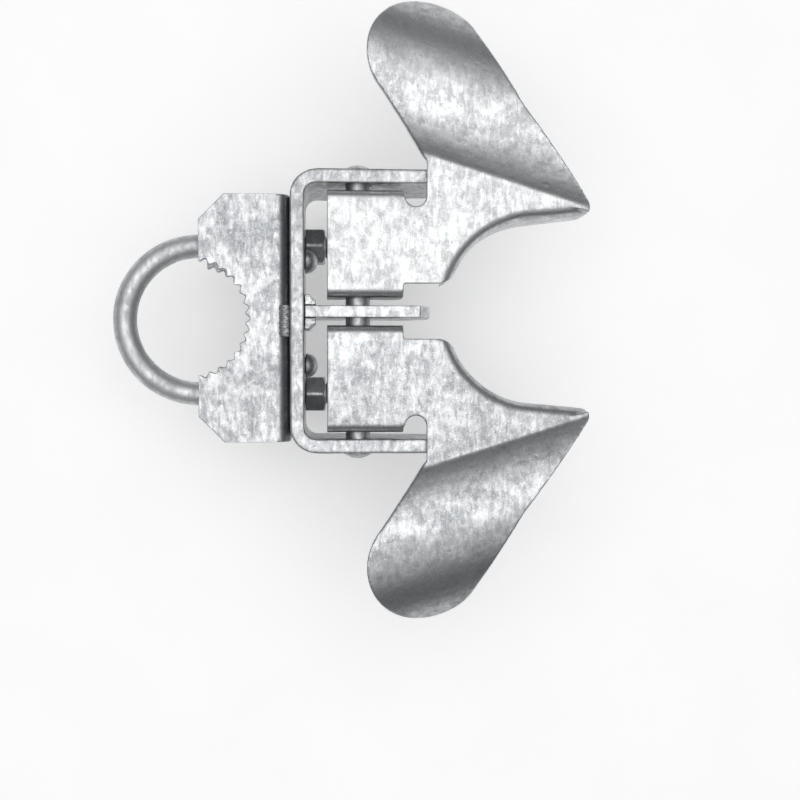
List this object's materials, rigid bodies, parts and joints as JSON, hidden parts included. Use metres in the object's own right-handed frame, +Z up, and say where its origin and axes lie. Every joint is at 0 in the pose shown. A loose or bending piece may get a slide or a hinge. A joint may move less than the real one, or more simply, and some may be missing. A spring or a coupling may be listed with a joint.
{
  "type": "butterfly gate latch",
  "caption": "Gravity gate latch for round tube gates: a U-bolt saddle and bent-bar bracket carry flip-up pressed wings whose jaws hold a round gate post.",
  "frame": {"origin": "on the axis of the gate frame tube that the U-bolt and saddle hold, at half the height of the bracket's web", "axes": "+X from the gate frame to the gate post, +Y towards the left wing, +Z up in use, along the gate frame tube"},
  "size_m": [0.195, 0.2488, 0.0619],
  "materials": {
    "galvanised_bar": "hot-dip galvanised flat bar, speckled and mottled, satin",
    "galvanised_saddle": "hot-dip galvanised pressed sheet, mottled, satin",
    "galvanised_wing": "hot-dip galvanised pressed sheet with darker weathered patches, satin",
    "galvanised_weld": "galvanised weld bead, lumpy",
    "galvanised_fastener": "galvanised bar and fasteners, duller and darker"
  },
  "bodies": {
    "root": {"bracket": "galvanised_bar", "centre_plate": "galvanised_bar", "centre_weld_left": "galvanised_weld", "centre_weld_right": "galvanised_weld", "saddle": "galvanised_saddle", "saddle_weld_top": "galvanised_weld", "saddle_weld_bottom": "galvanised_weld", "saddle_rivet_left": "galvanised_fastener", "saddle_rivet_right": "galvanised_fastener", "u_bolt": "galvanised_fastener", "u_bolt_nut_left": "galvanised_fastener", "u_bolt_nut_right": "galvanised_fastener", "pivot_pin": "galvanised_fastener"},
    "wing_left": {"wing_left": "galvanised_wing"},
    "wing_right": {"wing_right": "galvanised_wing"}
  },
  "joints": [
    {"name": "wing_left_hinge", "type": "hinge", "parent": "root", "child": "wing_left", "pos_m": [0.066, 0.0024, 0.0166], "axis": [0, -1, 0], "range_deg": [0, 125]},
    {"name": "wing_right_hinge", "type": "hinge", "parent": "root", "child": "wing_right", "pos_m": [0.066, 0.0024, 0.0166], "axis": [0, -1, 0], "range_deg": [0, 125]}
  ]
}
